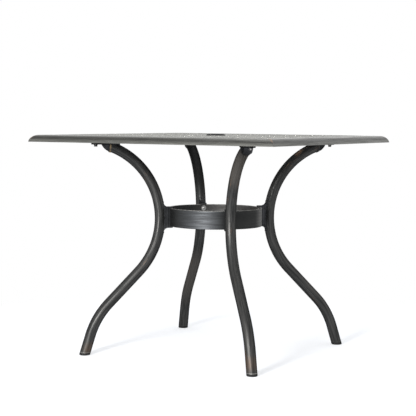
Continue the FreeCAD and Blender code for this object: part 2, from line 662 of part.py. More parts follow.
def build():
    """Every node of the table, by name."""
    nodes = {
        "top_panel": top_panel(),
        "umbrella_grommet": umbrella_grommet(),
        "stretcher_ring": stretcher_ring(),
    }
    rail = rim_rail()
    bar = leg_bar(TUBE_RADIUS)
    for side, angle in SIDE_NAMES.items():
        nodes["rim_rail_" + side] = turned(rail, angle)
    per_leg = {
        "leg_tube": leg_tube(),
        "leg_plate": leg_plate(),
        "end_gusset": end_gusset(bar),
        "ring_saddle": ring_saddle(bar),
        "foot_glide": foot_glide(),
    }
    for piece, shape in per_leg.items():
        for leg, angle in LEG_NAMES.items():
            nodes[piece + "_" + leg] = turned(shape, angle)
    fasteners = {
        "top_screws": [top_screw()],
        "top_washers": [top_washer()],
        "ring_bolts": [ring_bolt(z) for z in bolt_heights()],
        "ring_washers": [ring_washer(z) for z in bolt_heights()],
    }
    for group, solids in fasteners.items():
        copies = [turned(solid, angle) for angle in LEG_NAMES.values() for solid in solids]
        nodes[group] = Part.makeCompound(copies)
    return nodes


os.makedirs("parts", exist_ok=True)
for name, shape in build().items():
    shape.exportStep("parts/" + name + ".step")
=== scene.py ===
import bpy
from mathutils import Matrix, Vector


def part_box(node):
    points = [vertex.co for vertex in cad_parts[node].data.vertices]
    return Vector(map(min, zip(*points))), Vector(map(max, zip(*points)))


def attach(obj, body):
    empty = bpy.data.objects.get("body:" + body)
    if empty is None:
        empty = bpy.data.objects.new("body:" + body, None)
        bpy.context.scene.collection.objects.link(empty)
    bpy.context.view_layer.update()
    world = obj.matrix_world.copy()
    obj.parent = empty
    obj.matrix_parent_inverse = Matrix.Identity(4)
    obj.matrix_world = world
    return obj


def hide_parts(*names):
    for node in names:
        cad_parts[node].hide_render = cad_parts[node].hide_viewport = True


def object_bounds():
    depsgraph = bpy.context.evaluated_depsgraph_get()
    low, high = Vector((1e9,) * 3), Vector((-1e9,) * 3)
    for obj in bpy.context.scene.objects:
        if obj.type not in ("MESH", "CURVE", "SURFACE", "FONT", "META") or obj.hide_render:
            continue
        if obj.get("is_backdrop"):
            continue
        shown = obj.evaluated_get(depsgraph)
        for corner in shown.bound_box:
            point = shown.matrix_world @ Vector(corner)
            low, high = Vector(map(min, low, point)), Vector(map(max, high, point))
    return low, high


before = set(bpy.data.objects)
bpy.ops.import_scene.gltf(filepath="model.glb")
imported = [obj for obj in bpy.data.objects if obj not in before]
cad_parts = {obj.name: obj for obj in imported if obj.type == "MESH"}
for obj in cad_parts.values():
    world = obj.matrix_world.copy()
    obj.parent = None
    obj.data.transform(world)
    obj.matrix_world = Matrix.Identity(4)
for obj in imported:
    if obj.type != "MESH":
        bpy.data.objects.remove(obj)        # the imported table: its bodies, nodes and record

import inspect
import math

import bmesh
import bpy
from mathutils import Matrix, Vector

bl_info = {
    "name": "Cast Lattice Umbrella Table",
    "version": (1, 0, 0),
    "blender": (4, 5, 0),
    "location": "3D View > Sidebar > Patio Table",
    "description": "Cast lattice top, weld beads and hand-brushed powder coat for a square umbrella table",
    "category": "Object",
}

CAD_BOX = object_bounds()
BODY = "root"
LEGS = {"rear_right": 45.0, "rear_left": 135.0, "front_left": 225.0, "front_right": 315.0}
SIDES = (0.0, 90.0, 180.0, 270.0)        # turns of the four sides of the top
ORIGIN = (0.0, 0.0, 0.0)
UP = Vector((0, 0, 1))
LEVEL = (1.0, 1.0, 0.0)                  # keeps the level part of a place when multiplied

# Places read from the CAD parts, in metres
PANEL_LOW, PANEL_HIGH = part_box("top_panel")
RING_LOW, RING_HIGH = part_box("stretcher_ring")
TABLE_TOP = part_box("rim_rail_front")[1].z
COLLAR_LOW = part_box("umbrella_grommet")[0].z
PLATE_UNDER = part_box("leg_plate_rear_right")[0].z
TUBE_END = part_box("leg_tube_rear_right")[0].z
RING_MIDDLE = (RING_LOW.z + RING_HIGH.z) / 2

# Small shapes of the castings, in metres
LINE_SECTION = ((0.006, 0.0), (0.0075, 0.0007), (0.0095, 0.001), (0.0115, 0.0007), (0.013, 0.0))
HUB_EDGE = 0.0016        # rounding of the hub's rings
COLLAR_WALL = 0.005      # wall of the collar round the umbrella hole
SLOT_OVERLAP = 0.003     # reach of the bars between the slots into the hub's rings
SPOKE_DROP = 0.0004      # top of those bars under that of the lattice
SPOKE_CROWN = 0.8        # height of their crown as a share of the lattice's
ROOT = 0.002             # depth of a web inside the plate it stands on
SEAT = 0.001             # depth of ribs, webs and bosses inside the lattice over them
WEB_INSET = 0.004        # edges of a pad to its webs
WEB = 0.005              # thickness of a web
PAD_EDGE, WEB_EDGE, RIB_EDGE = 0.0012, 0.0008, 0.0007        # softened edges
BOSS_CORE = 0.001        # radius of the hole down a screw boss
BOSS_FOOT = ((0.0095, -0.002), (0.0085, 0.0015), (0.008, 0.004))        # radius, height over the pad
DOME_SHARES = (1.0, 0.96, 0.8, 0.5, 0.2)        # shares of a boss's radius, from its foot to its top
ROUND = 72               # steps round a small turned shape
WIDE_ROUND = 96          # and round a wide one

# The weld beads
TROUGH = 0.82            # thickness of a bead between two ripples, as a share of its radius
BEAD_END = 0.35          # the same at its ends
BEAD_FLAT = 0.8          # height of a bead as a share of its width
PLATE_OFFSET = 0.0004    # middle of the bead under a plate to the plate
SADDLE_OFFSET = 0.0004   # the same at the sides of a saddle
BEAD_START = 0.004       # upright cut of the tube to the start of a plate's bead
BEAD_POINTS = 5          # points of the path in each ripple
PLATE_BEAD_WAY, SADDLE_BEAD_WAY = (-0.6, 0, -0.8), (-1, 0, 0)        # where the beads face
THIN_BEAD = 0.8          # radius of a saddle's bead as a share of a plate's

# How a tube's centreline runs on after the bend at its waist
BEND_SHARE = 0.72        # height of the bend as a share of its radius
RUN_SLOPE = 0.62         # outward run of the straight part over its height

# Where the finishes change, in metres
STRETCH = 0.03           # scale of the brushing along its run
RELIEF = 0.0004          # depth of the fine relief
UNDER_TOP = (0.5, 0.66)  # heights between which painted shade under the top grows on the tubes
END_SHADE = 0.0005, 0.002          # dark stretch over a tube's lower end, where it fades
END_RUB = 0.002, 0.0035            # bright stretch over that end
RING_RUB = 0.0013        # bright band under the ring's upper edge
CUFF_RUB = 0.0022        # half the bright band round a gusset's cuff

# Where the legs' tone differs, by hand-rubbed patina and by spots of painted light: leg, height, reach of
# the spot, colour of the finish, share
PATINA = (
    # painted highlight high on the front leg
    ("front_right", 0.67, 0.13, "rubbed", 0.6),
    ("front_right", 0.03, 0.05, "copper", 0.45),
    ("front_left", 0.02, 0.04, "copper", 0.25),
    ("rear_left", 0.22, 0.18, "rubbed", 0.4),
    # painted shade high on the back leg, under the top
    ("rear_left", 0.63, 0.17, "coat", 1.0),
)
# Spots of painted shade and a painted reflection on the ring: turn about the table's axis, reach, colour,
# share
BAND_PATINA = (
    # painted shade: dark spots that narrow the highlight and darken the ring's ends
    (-22.0, 0.14, "coat", 1.0),
    (-145.0, 0.18, "coat", 1.0),
    (170.0, 0.14, "coat", 0.85),
    # painted reflection at the ring's right end
    (26.0, 0.085, "bare", 0.5),
)
# Painted reflection and shade on the rim below the table top, light on its top and lower band and dark over
# its shoulder: share of the rim's height, share of the full colour
RIM_HEIGHT = 0.024
RIM_TONES = (
    (0.0, 1.0), (0.04, 0.95), (0.12, 0.65), (0.22, 0.34), (0.4, 0.37), (0.6, 0.77), (0.82, 0.98),
    (0.94, 0.9), (1.0, 0.45),
)

# The stage
PHOTO_WIDTH = 416        # pixels
SENSOR = 36.0            # millimetres
WHITE = (1.0, 1.0, 1.0)
FLOOR_COLOUR = (0.87, 0.89, 0.93)
ROOM_COLOUR = (0.93, 0.96, 1.0)
FLOOR_HALF = 30.0        # half the floor's side
SHADOW_NEAR, SHADOW_FAR = 0.75, 1.35        # table's axis to where the shadows start to fade and end
# Softboxes: name, power setting, place, target, width, height, colour
LAMPS = (
    ("front_key", "key", (0.2, -3.6, 1.15), (0.0, 0.0, 0.5), 0.45, 1.8, (1.0, 0.985, 0.965)),
    ("side_fill", "side", (3.3, 0.9, 1.2), (0.0, 0.0, 0.5), 0.8, 1.8, (1.0, 0.99, 0.97)),
    ("overhead", "overhead", (0.0, 0.3, 3.6), (0.0, 0.0, 0.0), 3.0, 3.0, WHITE),
)


# What a user can set

def setting_kind(make, **kind):
    """A short way to write one kind of setting: its name, its description and its default."""
    def setting(name, description, default, **limits):
        return make(name=name, description=description, default=default, **kind, **limits)
    return setting


length_setting = setting_kind(bpy.props.FloatProperty, unit="LENGTH")
angle_setting = setting_kind(bpy.props.FloatProperty, subtype="ANGLE")
pixel_setting = setting_kind(bpy.props.FloatProperty, subtype="PIXEL")
power_setting = setting_kind(bpy.props.FloatProperty, unit="POWER")
plain_setting = setting_kind(bpy.props.FloatProperty, min=0, max=1)
count_setting = setting_kind(bpy.props.IntProperty)
colour_setting = setting_kind(bpy.props.FloatVectorProperty, subtype="COLOR", size=3, min=0, max=1)


class LatticeSizes(bpy.types.PropertyGroup):
    """Sizes of the cast panel."""

    border: length_setting("Border", "Plain border round the lattice", 0.024)
    count: count_setting("Diamonds", "Diamonds across the panel", 9, min=3, max=21)
    bar_width: length_setting("Bar Width", "Width of a lattice bar", 0.009)
    bar_depth: length_setting("Bar Depth", "Thickness of the plate", 0.006)
    crown: length_setting("Crown", "Height of the rounded crown of a bar", 0.0022)
    boss_radius: length_setting("Boss Radius", "Radius of the low boss where bars cross", 0.0045)
    boss_rise: length_setting("Boss Rise", "Height of that boss over the bars", 0.0007)
    hub_radius: length_setting("Hub Radius", "Disc round the umbrella hole", 0.068)
    hub_hole: length_setting("Hub Hole", "Radius of the hole for the grommet", 0.0293)
    slot_inner: length_setting("Slot Inside", "Inner radius of the hub's slots", 0.046)
    slot_outer: length_setting("Slot Outside", "Outer radius of the hub's slots", 0.058)
    slot_count: count_setting("Slots", "Slots in the hub", 8, min=3, max=16)
    rib_width: length_setting("Rib Width", "Width of the ribs underneath", 0.004)
    rib_depth: length_setting("Rib Depth", "Depth of the ribs under the plate", 0.011)
    pad_inner: length_setting("Pad Start", "Table centre to the near end of a leg pad", 0.3338)
    pad_outer: length_setting("Pad End", "Table centre to the far end of a leg pad", 0.440)
    pad_width: length_setting("Pad Width", "Width of a leg pad", 0.040)
    pad_plate: length_setting("Pad Plate", "Thickness of a pad's plate", 0.006)
    screw_place: length_setting("Screw Place", "Table centre to the screw of a leg", 0.420)


class LegSizes(bpy.types.PropertyGroup):
    """Sizes of the bent tube that the welds and the brushing follow."""

    tube_radius: length_setting("Tube Radius", "Outside radius of the leg tube", 0.018)
    bend_radius: length_setting("Bend Radius", "Centreline radius of the bends", 0.262)
    waist_radius: length_setting("Waist Radius", "Table centre to the centreline at the waist", 0.1965)
    ring_rise: length_setting("Ring Rise", "Middle of the ring over the tubes' waist", 0.0035)
    top_radius: length_setting("Top Radius", "Table centre to the upright cut of the tube", 0.373)
    plate_half: length_setting("Plate Half Width", "Half the width of a leg's top plate", 0.015)
    splay: angle_setting("Splay", "Lean of the long straight run", math.radians(44.0))
    saddle_half: length_setting("Saddle Half Width", "Half the width of a ring saddle", 0.010)
    saddle_reach: length_setting("Saddle Reach", "Waist to the saddle's tips on the tube", 0.0525)
    bead_radius: length_setting("Bead Radius", "Radius of a weld bead", 0.0021)
    bead_pitch: length_setting("Bead Pitch", "Distance between the ripples of a bead", 0.0032)


class CoatFinish(bpy.types.PropertyGroup):
    """Colours and roughness of the antique powder coat and of the small parts."""

    coat: colour_setting("Coat", "Dark of the powder coat", (0.027, 0.028, 0.028))
    brushed: colour_setting("Brushed", "Grey left by the brush", (0.070, 0.0695, 0.068))
    band: colour_setting("Band", "Cooler grey of the ring", (0.080, 0.085, 0.091))
    rim: colour_setting("Rim", "Greenish grey of the rim and the lattice", (0.19, 0.19, 0.175))
    copper: colour_setting("Copper", "Copper that shows where the coat is rubbed off", (0.19, 0.115, 0.07))
    # also the colour of the painted highlight high on the front leg
    rubbed: colour_setting("Rubbed", "Warm grey where the coat is rubbed thin", (0.140, 0.126, 0.112))
    inside: colour_setting("Inside", "Brownish grey of the ring's inside", (0.100, 0.090, 0.078))
    # also the colour of the painted reflection at the ring's right end
    bare: colour_setting("Bare", "Metal where an edge is rubbed bright", (0.24, 0.235, 0.225))
    brass: colour_setting("Brass", "Golden rub on the cuffs of the gussets", (0.20, 0.15, 0.09))
    cast: colour_setting("Cast", "Dark of the cast saddles and gussets", (0.029, 0.030, 0.032))
    # also the colour of the painted shade on the tubes under the top
    moulded: colour_setting("Moulded", "Black of the grommet and the glides", (0.014, 0.014, 0.014))
    zinc: colour_setting("Zinc", "Bright plating of the ring's bolts", (0.55, 0.55, 0.54))
    # painted shade: darker zinc for the top's screws in the shade under the top
    dark_zinc: colour_setting("Dark Zinc", "Dull plating of the top's screws", (0.075, 0.075, 0.075))
    rough: plain_setting("Roughness", "Roughness of the powder coat", 0.43)


class Studio(bpy.types.PropertyGroup):
    """The camera's place and the light."""

    distance: length_setting("Distance", "Camera to the table's axis", 4.2646)
    azimuth: angle_setting("Azimuth", "Camera's turn about the table, from the front", math.radians(29.769))
    over_top: length_setting("Over Top", "Camera height over the table top", 0.0657)
    yaw: angle_setting("Yaw", "Camera's turn away from the table's axis", 0.00586)
    pitch: angle_setting("Pitch", "Camera's tilt from level", -0.07444)
    roll: angle_setting("Roll", "Camera's roll", 0.00766)
    focal: pixel_setting("Focal Length", "Focal length in pixels of the photograph", 1229.3)
    key: power_setting("Key", "Power of the tall light at the front", 160.0)
    side: power_setting("Side", "Power of the light at the right", 4.0)
    overhead: power_setting("Overhead", "Power of the wide light above", 45.0)
    room: plain_setting("Room", "Strength of the even light from all round", 0.55)
    shadow: plain_setting("Shadow", "Share of the floor that takes light and shadow", 0.64)
    lift: plain_setting("Lift", "What the floor's even share gives over plain white, by the table", 0.515)


# Mesh helpers

def turned(point, degrees):
    """A point of the first leg or side, turned about the table's upright axis."""
    return Matrix.Rotation(math.radians(degrees), 3, "Z") @ Vector(point)


def new_object(name, data):
    """A new object in the scene."""
    made = bpy.data.objects.new(name, data)
    bpy.context.scene.collection.objects.link(made)
    return made


def mesh_object(name, bm, material):
    """An object made from the bmesh."""
    mesh = bpy.data.meshes.new(name)
    bm.to_mesh(mesh)
    bm.free()
    mesh.materials.append(material)
    return new_object(name, mesh)


def new_piece(name, bm, material, slot, sharp):
    """A piece made from the bmesh, which rides on the table and takes the material given; the slot is not
    used.
    """
    bmesh.ops.recalc_face_normals(bm, faces=bm.faces)
    piece = mesh_object(name, bm, material)
    piece.data.shade_smooth()
    piece.data.set_sharp_from_angle(angle=math.radians(sharp))
    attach(piece, BODY)
    return piece


def bridge(bm, rings, closed=False):
    """Faces between rings of vertices, each ring closed, and caps at open ends."""
    pairs = list(zip(rings, rings[1:]))
    if closed:
        pairs.append((rings[-1], rings[0]))
    for one, two in pairs:
        for k in range(len(one)):
            nearby = (k + 1) % len(one)
            bm.faces.new((one[k], one[nearby], two[nearby], two[k]))
    if not closed:
        bm.faces.new(rings[0])
        bm.faces.new(rings[-1])


def add_bar(bm, start, end, section):
    """A straight bar whose section is a list of (sideways, upward) points."""
    side = (end - start).normalized().cross(UP)
    rings = []
    for place in (start, end):
        rings.append([bm.verts.new(place + side * s + UP * u) for s, u in section])
    bridge(bm, rings)


def add_lathe(bm, profile, steps, centre=Vector((0, 0, 0))):
    """A closed outline of (radius, height) points, turned about an upright axis."""
    rings = []
    for k in range(steps):
        angle = 2 * math.pi * k / steps
        way = Vector((math.cos(angle), math.sin(angle), 0))
        rings.append([bm.verts.new(centre + way * r + UP * z) for r, z in profile])
    bridge(bm, rings, closed=True)


def add_square_frame(bm, profile):
    """A closed outline of (distance, height) points, led round a square with mitred corners."""
    rings = []
    for x, y in ((1, 1), (-1, 1), (-1, -1), (1, -1)):
        rings.append([bm.verts.new(Vector((x * d, y * d, z))) for d, z in profile])
    bridge(bm, rings, closed=True)


def add_dome(bm, centre, radius, rise, foot, steps=14):
    """A low round boss on a short foot."""
    rings = []
    for share in DOME_SHARES:
        z = -foot if share == 1.0 else rise * (1 - share**2)
        rings.append([
            bm.verts.new(centre + Vector((
                radius * share * math.cos(2 * math.pi * k / steps),
                radius * share * math.sin(2 * math.pi * k / steps), z)))
            for k in range(steps)])
    bridge(bm, rings)


def add_block(bm, low, high, degrees, bevel):
    """A block between two corners with softened edges, turned about the table's axis."""
    low, high = Vector(low), Vector(high)
    size = high - low
    place = Matrix.Rotation(math.radians(degrees), 4, "Z") @ Matrix.Translation((low + high) / 2)
    made = bmesh.ops.create_cube(bm, size=1.0, matrix=place @ Matrix.Diagonal((*size, 1.0)))
    edges = list({edge for vert in made["verts"] for edge in vert.link_edges})
    bmesh.ops.bevel(bm, geom=edges, offset=bevel, segments=2, affect="EDGES", profile=0.5)


def add_bead(bm, path, outward, radius, pitch, closed, sides=8):
    """A rippled weld bead along a path, laid on a surface that faces outward."""
    rings = []
    run = 0.0
    count = len(path)
    for k, place in enumerate(path):
        before = path[k - 1] if k or closed else place
        after = path[(k + 1) % count] if k + 1 < count or closed else place
        run += (place - path[k - 1]).length if k else 0.0
        way = (after - before).normalized()
        side = way.cross(outward).normalized()
        lift = side.cross(way)
        full = radius * (TROUGH + (1 - TROUGH) * abs(math.sin(math.pi * run / pitch)))
        if not closed and k in (0, count - 1):
            full = radius * BEAD_END
        rings.append([
            bm.verts.new(place + side * full * math.cos(a) + lift * full * BEAD_FLAT * math.sin(a))
            for a in (2 * math.pi * j / sides for j in range(sides))])
    bridge(bm, rings, closed=closed)


def crowned_section(width, depth, crown, steps=8):
    """Section of a cast bar: flat underneath, upright sides, rounded crown."""
    points = [(-width / 2, 0.0)]
    for k in range(steps + 1):
        angle = math.pi * (1 - k / steps)
        points.append((width / 2 * math.cos(angle), depth - crown + crown * math.sin(angle)))
    points.append((width / 2, 0.0))
    return points


# Places on a leg

def waist_height(legs):
    """Height at which the tubes come nearest to the table's axis."""
    return RING_MIDDLE - legs.ring_rise


def tube_centre(legs, leg, height):
    """A point on the centreline of a leg's bend at its waist, or of its straight run, at a height."""
    away = min(abs(height - waist_height(legs)), legs.bend_radius * BEND_SHARE)
    run = abs(height - waist_height(legs)) - away
    reach = legs.waist_radius + legs.bend_radius - math.sqrt(legs.bend_radius**2 - away**2)
    return turned((reach + run * RUN_SLOPE, 0, height), LEGS[leg])


# Node helpers

class Field:
    """An output in a node tree; arithmetic on it makes Math nodes."""

    def __init__(self, socket):
        self.socket = socket

    def __add__(self, other):
        return calc("ADD", self, other)

    def __sub__(self, other):
        return calc("SUBTRACT", self, other)

    def __rsub__(self, other):
        return calc("SUBTRACT", other, self)

    def __mul__(self, other):
        return calc("MULTIPLY", self, other)

    def __truediv__(self, other):
        return calc("DIVIDE", self, other)


def fields(node):
    """The outputs of a node by name."""
    return {socket.name: Field(socket) for socket in node.outputs}


def plug(socket, value):
    """Links a socket to a field, or sets it to a value or a colour."""
    if isinstance(value, Field):
        socket.id_data.links.new(value.socket, socket)
    elif socket.type == "RGBA":
        socket.default_value = (*value, 1.0)
    else:
        socket.default_value = value


def add_node(kind, inputs, output=0, tree=None, **settings):
    """An output of a new node, in the tree given or in that of the fields it takes."""
    tree = tree or next(value.socket.id_data for value in inputs.values() if isinstance(value, Field))
    made = tree.nodes.new(kind)
    for name, value in settings.items():
        setattr(made, name, value)
    for name, value in inputs.items():
        plug(made.inputs[name], value)
    return Field(made.outputs[output])


def calc(operation, *values):
    """Output of a Math node."""
    return add_node("ShaderNodeMath", dict(enumerate(values)), operation=operation)


def vector_calc(operation, *values, output="Vector"):
    """Output of a Vector Math node."""
    return add_node("ShaderNodeVectorMath", dict(enumerate(values)), output, operation=operation)


def dot(one, two):
    """Dot product of two vectors."""
    return vector_calc("DOT_PRODUCT", one, two, output="Value")


def ramp(value, low, high, to_low=0.0, to_high=1.0):
    """A value eased from one range to another."""
    return add_node(
        "ShaderNodeMapRange",
        {"Value": value, "From Min": low, "From Max": high, "To Min": to_low, "To Max": to_high},
        "Result", interpolation_type="SMOOTHSTEP")


def blend_colour(mask, first, second, blend_type="MIX"):
    """One colour laid over another by a mask."""
    return add_node(
        "ShaderNodeMix", {"Factor": mask, 6: first, 7: second}, 2, data_type="RGBA",
        blend_type=blend_type)


def noise(vector, scale, detail=3.0, roughness=0.55):
    """Even noise over a vector."""
    return add_node(
        "ShaderNodeTexNoise",
        {"Vector": vector, "Scale": scale, "Detail": detail, "Roughness": roughness}, "Fac")


# Node groups that several materials share: a function's parameters are its group's inputs

def tube_run(position=ORIGIN, normal=ORIGIN, bend_radius=0.262, waist_radius=0.1965, waist_level=0.4639,
             tube_radius=0.018, splay=0.768, stretch=STRETCH):
    """Coordinates that follow a bent leg: round the tube in X and Z, along it in Y."""
    level = vector_calc("MULTIPLY", position, LEVEL)
    radial = vector_calc("NORMALIZE", level)
    across = vector_calc("CROSS_PRODUCT", UP, radial)
    reach = dot(level, radial)
    height = dot(position, UP)
    rise = height - waist_level
    turn = calc("ARCTAN2", rise, waist_radius + bend_radius - reach)
    turn = calc("MAXIMUM", turn, splay * -1.0)
    inward = dot(normal, radial) * calc("COSINE", turn)
    upward = dot(normal, UP) * calc("SINE", turn)
    along = height + (reach - waist_radius) * calc("GREATER_THAN", rise, 0.0)
    return {"Vector": add_node("ShaderNodeCombineXYZ", {
        "X": dot(normal, across) * tube_radius,
        "Y": along * stretch,
        "Z": (upward - inward) * tube_radius})}


def rim_run(position=ORIGIN, stretch=STRETCH):
    """Coordinates that run along each side of a square rim and part at its mitres."""
    split = add_node("ShaderNodeSeparateXYZ", {0: position})
    x, y, z = fields(split.socket.node).values()
    wide, deep = calc("ABSOLUTE", x), calc("ABSOLUTE", y)
    side = calc("GREATER_THAN", wide, deep)
    along = y * side + x * (1.0 - side)
    vector = add_node("ShaderNodeCombineXYZ", {
        "X": calc("MAXIMUM", wide, deep), "Y": along * stretch, "Z": z})
    mitre = ramp(calc("ABSOLUTE", wide - deep), 0.001, 0.007, 1.0, 0.0)
    return {"Vector": vector, "Mitre": mitre}


def brushed_streaks(vector=ORIGIN, fineness=700.0):
    """Streaks left by a dry brush over stretched coordinates, with slow changes of tone."""
    fine = noise(vector, fineness, 4.0, 0.6)
    broad = noise(vector, fineness * 0.25, 2.0)
    streaks = ramp(fine * 0.6 + broad * 0.4, 0.38, 0.64)
    return {"Streaks": streaks, "Tone": ramp(broad, 0.3, 0.7), "Relief": fine}


def copper_rub(vector=ORIGIN, position=ORIGIN, fineness=420.0, amount=0.4):
    """Long scratches and patches where the coat is rubbed through to copper."""
    lines = noise(vector, fineness, 3.0, 0.65)
    patches = noise(position, 9.0, 2.0)
    edge = 0.72 - amount * 0.3
    return {"Mask": ramp(lines * 0.6 + patches * 0.4 - edge, 0.0, 0.09)}


def worn_band(value=0.0, low=0.0, high=0.0, softness=0.0006, position=ORIGIN, breakup=0.5):
    """An edge rubbed bright: a band of any value, broken up by noise over the surface."""
    enter = ramp(value, low - softness, low)
    leave = ramp(value, high, high + softness, 1.0, 0.0)
    gaps = ramp(noise(position, 90.0, 3.0), 0.38, 0.6)
    return {"Mask": enter * leave * (1.0 - breakup + gaps * breakup)}


def patina_spot(position=ORIGIN, centre=ORIGIN, reach=0.1):
    """A round spot that fades towards its edge."""
    apart = vector_calc("DISTANCE", position, centre, output="Value")
    return {"Mask": ramp(apart / reach, 0.35, 1.0, 1.0, 0.0)}


def sand_cast(position=ORIGIN, grain=900.0):
    """Fine pits of a sand casting, with a slow mottle."""
    pits = noise(position, grain, 3.0, 0.6)
    lumps = noise(position, grain * 0.16, 2.0)
    mottle = ramp(noise(position, 28.0, 3.0), 0.3, 0.7)
    return {"Relief": pits * 0.6 + lumps * 0.4, "Mottle": mottle}


def label(name):
    """A name as a node shows it, such as Tube Run for tube_run."""
    return name.replace("_", " ").title()


def add_socket(tree, name, in_out, is_vector):
    """A named input or output of a node group."""
    kind = "NodeSocketVector" if is_vector else "NodeSocketFloat"
    return tree.interface.new_socket(name=name, in_out=in_out, socket_type=kind)


def new_group(work_out):
    """A node group with a function's parameters as inputs, and its results as outputs."""
    tree = bpy.data.node_groups.new(label(work_out.__name__), "ShaderNodeTree")
    parameters = inspect.signature(work_out).parameters
    for name, parameter in parameters.items():
        socket = add_socket(tree, label(name), "INPUT", parameter.default is ORIGIN)
        socket.default_value = parameter.default
    given = fields(tree.nodes.new("NodeGroupInput"))
    results = work_out(**{name: given[label(name)] for name in parameters})
    for name, result in results.items():
        add_socket(tree, name, "OUTPUT", result.socket.type == "VECTOR")
    end = tree.nodes.new("NodeGroupOutput").inputs
    for name, result in results.items():
        plug(end[name], result)
    return tree


def use_group(work_out, surface, **inputs):
    """Outputs of a node group placed in a material; it takes the surface's place and normal by itself."""
    group = bpy.data.node_groups.get(label(work_out.__name__)) or new_group(work_out)
    for name in ("position", "normal"):
        if name in inspect.signature(work_out).parameters:
            inputs[name] = surface[label(name)]
    values = {label(name): value for name, value in inputs.items()}
    return fields(add_node("ShaderNodeGroup", values, node_tree=group).socket.node)


# Parts of materials

def new_material(name, metallic, edge_tint, specular=0.5):
    """A material, the inputs of its Principled shader and the fields of its Geometry node."""
    material = bpy.data.materials.new(name)
    material.use_nodes = True
    nodes = material.node_tree.nodes
    shader = nodes["Principled BSDF"].inputs
    plug(shader["Metallic"], metallic)
    plug(shader["Specular Tint"], (edge_tint,) * 3)
    plug(shader["Specular IOR Level"], specular)
    return material, shader, fields(nodes.new("ShaderNodeNewGeometry"))


def add_relief(shader, height, strength, depth=RELIEF):
    """Fine relief from a height that changes over the surface."""
    plug(shader["Normal"], add_node(
        "ShaderNodeBump", {"Height": height, "Strength": strength, "Distance": depth}, "Normal"))


def shade(colour, share):
    """A darker or lighter shade of a colour."""
    return [channel * share for channel in colour]


def surface_height(surface):
    """Height over the floor."""
    return dot(surface["Position"], UP)


def worn_edge(surface, value, low, high, breakup):
    """Mask of an edge rubbed bright."""
    return use_group(worn_band, surface, value=value, low=low, high=high, breakup=breakup)["Mask"]


def add_spots(surface, colour, finish, spots):
    """Spots of patina and of painted light and shade over a colour: centre, reach, colour of the finish and
    share of each.
    """
    for centre, reach, over, share in spots:
        mask = use_group(patina_spot, surface, centre=centre, reach=reach)["Mask"]
        colour = blend_colour(mask * share, colour, getattr(finish, over))
    return colour


def tube_vector(surface):
    """Brushing runs along the bent legs."""
    legs = bpy.context.scene.leg_sizes
    return use_group(
        tube_run, surface, bend_radius=legs.bend_radius, waist_radius=legs.waist_radius,
        waist_level=waist_height(legs), tube_radius=legs.tube_radius, splay=legs.splay)["Vector"]


def band_vector(surface):
    """Brushing runs round the ring."""
    return vector_calc("MULTIPLY", surface["Position"], (STRETCH, STRETCH, 1.0))


def rim_vector(surface):
    """Brushing runs along each rail of the rim."""
    return use_group(rim_run, surface)["Vector"]


def tube_tone(surface, colour, finish):
    """Patina and spots of painted light differ from leg to leg, painted shade darkens the upward sides of
    the tubes under the top, and the tube is dark just over the glide.
    """
    legs = bpy.context.scene.leg_sizes
    colour = add_spots(surface, colour, finish, [
        (tube_centre(legs, leg, height), reach, over, share) for leg, height, reach, over, share in PATINA])
    # painted shade under the top: upward-facing sides take the glides' black
    under_top = ramp(surface_height(surface), *UNDER_TOP)
    facing_down = ramp(dot(surface["Normal"], UP), -0.15, 0.45, 0.0, 0.9)
    colour = blend_colour(under_top * facing_down, colour, finish.moulded)
    low, high = (TUBE_END + away for away in END_SHADE)
    end = ramp(surface_height(surface), low, high, 1.0, 0.0)
    return blend_colour(end, colour, finish.moulded)


def tube_wear(surface):
    """A band over the glide at the tube's lower end, rubbed bright as wear and made brightest at the front,
    towards the key lamp, as a painted highlight.
    """
    low, high = (TUBE_END + away for away in END_RUB)
    mask = worn_edge(surface, surface_height(surface), low, high, 0.5)
    # painted highlight: the band is made brightest on the side towards the key lamp
    return mask * ramp(dot(surface["Position"], (0.0, -1.0, 0.0)), -0.1, 0.1, 0.1, 1.0)


def band_tone(surface, colour, finish):
    """The ring's inside is browner than its outside, and spots of painted shade and a painted reflection
    lie round the ring.
    """
    level = vector_calc("MULTIPLY", surface["Position"], LEVEL)
    inward = calc("LESS_THAN", dot(surface["Normal"], level), 0.0)
    colour = blend_colour(inward * 0.35, colour, finish.inside)
    return add_spots(surface, colour, finish, [
        (turned((RING_HIGH.x, 0, RING_MIDDLE), degrees), reach, over, share)
        for degrees, reach, over, share in BAND_PATINA])


def band_wear(surface):
    """The ring's upper edge is rubbed bright."""
    top = RING_HIGH.z
    return worn_edge(surface, surface_height(surface), top - RING_RUB, top + RING_RUB, 0.5)


def rim_tone(surface, colour, finish):
    """Painted reflection and shade by height, light on the rim's top and lower band and dark over its
    shoulder, and the coat is rubbed through at the mitres.
    """
    drop = TABLE_TOP - surface_height(surface)
    # painted reflection and shade by height below the table top
    tones = add_node("ShaderNodeValToRGB", {"Fac": drop / RIM_HEIGHT}, "Color")
    stops = tones.socket.node.color_ramp.elements
    while len(stops) < len(RIM_TONES):
        stops.new(0.5)
    for stop, (place, tone) in zip(stops, RIM_TONES):
        stop.position = place
        stop.color = (tone, tone, tone, 1.0)
    toned = blend_colour(1.0, colour, tones, "MULTIPLY")
    mitre = use_group(rim_run, surface)["Mitre"]
    patch = ramp(noise(surface["Position"], 45.0, 2.0), 0.36, 0.56)
    upper = ramp(drop, 0.008, 0.014, 1.0, 0.0)
    return blend_colour(mitre * (patch * upper), toned, finish.copper)


def cuff_wear(surface):
    """The gusset's cuff is rubbed golden under the plate, most of all at the left."""
    level = vector_calc("MULTIPLY", surface["Position"], LEVEL)
    reach = vector_calc("LENGTH", level, output="Value")
    cuff = bpy.context.scene.leg_sizes.top_radius
    mask = worn_edge(surface, reach, cuff - CUFF_RUB, cuff + CUFF_RUB, 0.7)
    under = calc("LESS_THAN", surface_height(surface), PLATE_UNDER - 0.0002)
    return mask * under * ramp(dot(surface["Position"], (-1.0, 0.0, 0.0)), -0.1, 0.2, 0.15, 1.0)


